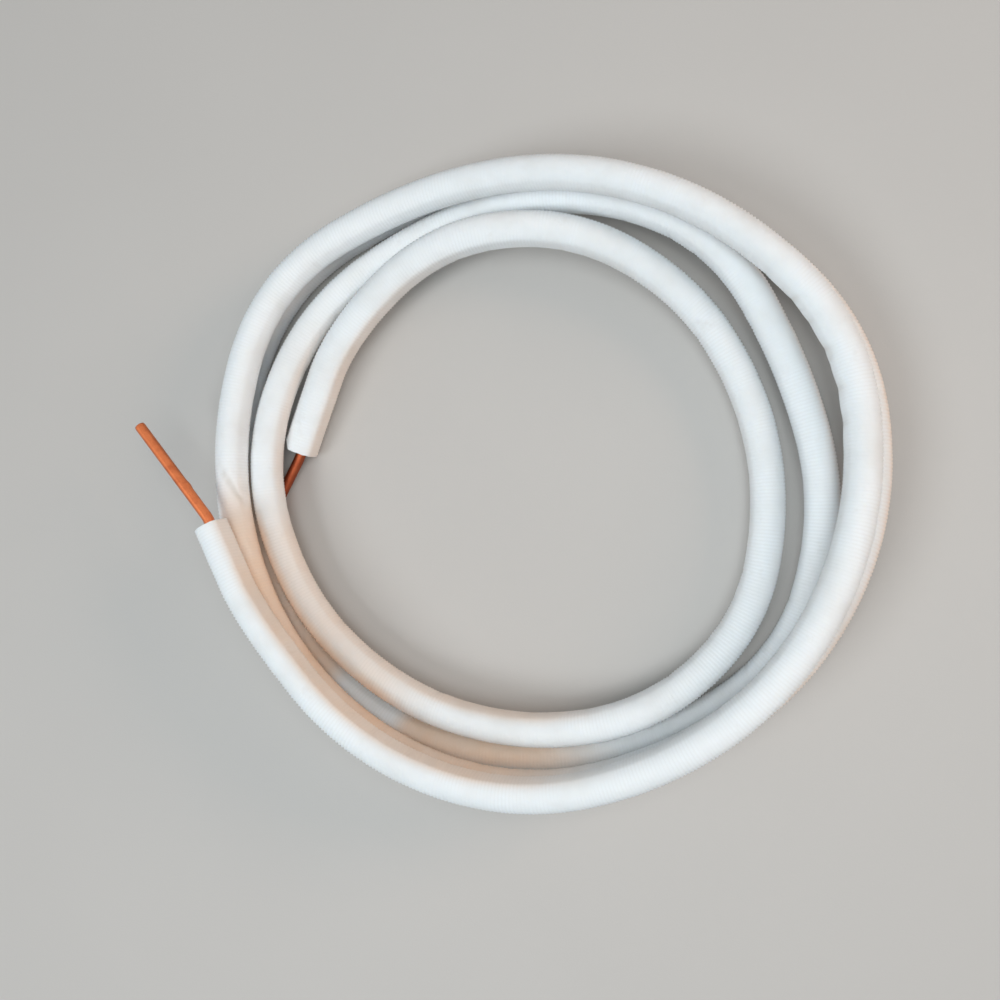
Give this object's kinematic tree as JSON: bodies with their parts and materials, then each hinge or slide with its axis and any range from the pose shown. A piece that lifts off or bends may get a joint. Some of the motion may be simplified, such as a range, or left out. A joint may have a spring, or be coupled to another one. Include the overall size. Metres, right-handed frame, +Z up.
{
  "type": "insulated copper tube coil",
  "caption": "Loose coil of small soft copper tube in a white foam sleeve, bare at both ends, for refrigerant or water lines.",
  "frame": {"origin": "on the floor, under the middle of the box round the whole coil, its bare ends included", "axes": "+Z up from the floor the coil lies on, +X away from the side where both ends are, +Y along the floor, as in the picture seen from above"},
  "size_m": [0.4232, 0.3675, 0.0617],
  "materials": {
    "white_foam": "matt closed-cell polyethylene foam with a fine cross-ribbed skin",
    "copper": "bright drawn copper, slightly handled"
  },
  "bodies": {
    "root": {"foam_sleeve": "white_foam", "copper_tube": "copper"}
  },
  "joints": []
}
